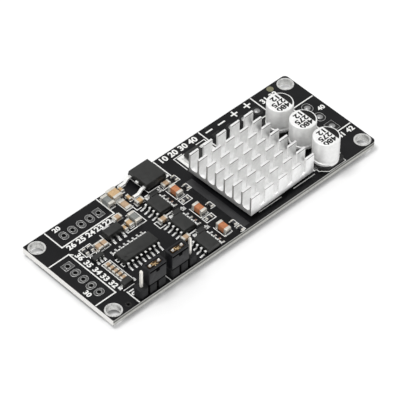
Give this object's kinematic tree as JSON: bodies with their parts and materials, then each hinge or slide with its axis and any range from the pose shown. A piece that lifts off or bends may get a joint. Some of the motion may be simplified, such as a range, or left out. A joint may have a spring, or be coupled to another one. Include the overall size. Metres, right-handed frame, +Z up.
{
  "type": "brushless motor controller module",
  "caption": "Long black circuit board with a pin-fin heat sink, upright capacitor cans, small chips, jumper headers and plated ports, for driving a small brushless motor.",
  "frame": {"origin": "centre of the four mounting holes, on the board's underside", "axes": "+X along the board's long side to the motor port, +Y to the edge with the supply port, +Z up out of the parts side"},
  "size_m": [0.0804, 0.0294, 0.0104],
  "materials": {
    "solder_mask": "glossy black solder mask over laminate",
    "tinned_copper": "tinned lands and barrels, dull",
    "solder": "bright solder",
    "tinned_lead": "matte tin plate on formed leads",
    "header_plastic": "black moulded header body",
    "gold_pin": "pale gold flash on square pins",
    "contact_sheet": "gold-plated spring sheet",
    "shunt_plastic": "satin black moulding",
    "sink_aluminium": "matte etched aluminium",
    "thermal_tape": "grey adhesive film",
    "mould_compound": "dark grey moulding compound",
    "can_aluminium": "drawn aluminium, satin sides",
    "plinth_plastic": "black moulded foot",
    "ceramic_orange": "fired ceramic, red-brown",
    "ceramic_tan": "fired ceramic, tan",
    "ceramic_beige": "fired ceramic, beige",
    "ceramic_grey": "fired ceramic, grey",
    "resistor_glaze": "black glaze"
  },
  "bodies": {
    "root": {"circuit_board": "solder_mask", "mounting_hole_plating": "tinned_copper", "sensor_port_pads": "tinned_copper", "control_port_pads": "tinned_copper", "motor_port_pads": "tinned_copper", "supply_port_pads": "tinned_copper", "test_hole": "tinned_copper", "port_solder": "solder", "heatsink": "sink_aluminium", "thermal_tape": "thermal_tape", "power_transistor_leads": "tinned_lead", "regulator_body": "mould_compound", "regulator_leads": "tinned_lead", "reference_body": "mould_compound", "reference_leads": "tinned_lead", "logic_gate_body": "mould_compound", "logic_gate_leads": "tinned_lead", "controller_body": "mould_compound", "controller_leads": "tinned_lead", "diode_leads": "tinned_lead", "electrolytic_leads": "tinned_lead", "snubber_capacitors": "ceramic_orange", "ripple_capacitors": "ceramic_tan", "bypass_capacitors": "ceramic_beige", "ferrite_beads": "ceramic_grey", "chip_resistors": "resistor_glaze", "chip_terminals": "tinned_lead", "left_header_base": "header_plastic", "left_header_pins": "gold_pin", "left_header_solder": "solder", "left_shunt_housing": "shunt_plastic", "left_shunt_contact": "contact_sheet", "right_header_base": "header_plastic", "right_header_pins": "gold_pin", "right_header_solder": "solder", "right_shunt_housing": "shunt_plastic", "right_shunt_contact": "contact_sheet", "power_transistor_1": "mould_compound", "power_transistor_2": "mould_compound", "power_transistor_3": "mould_compound", "power_transistor_4": "mould_compound", "power_transistor_5": "mould_compound", "power_transistor_6": "mould_compound", "gate_driver_1_body": "mould_compound", "gate_driver_1_leads": "tinned_lead", "electrolytic_1_can": "can_aluminium", "electrolytic_1_plinth": "plinth_plastic", "gate_driver_2_body": "mould_compound", "gate_driver_2_leads": "tinned_lead", "electrolytic_2_can": "can_aluminium", "electrolytic_2_plinth": "plinth_plastic", "gate_driver_3_body": "mould_compound", "gate_driver_3_leads": "tinned_lead", "electrolytic_3_can": "can_aluminium", "electrolytic_3_plinth": "plinth_plastic", "diode_1_body": "mould_compound", "diode_2_body": "mould_compound", "diode_3_body": "mould_compound", "diode_4_body": "mould_compound"}
  },
  "joints": []
}
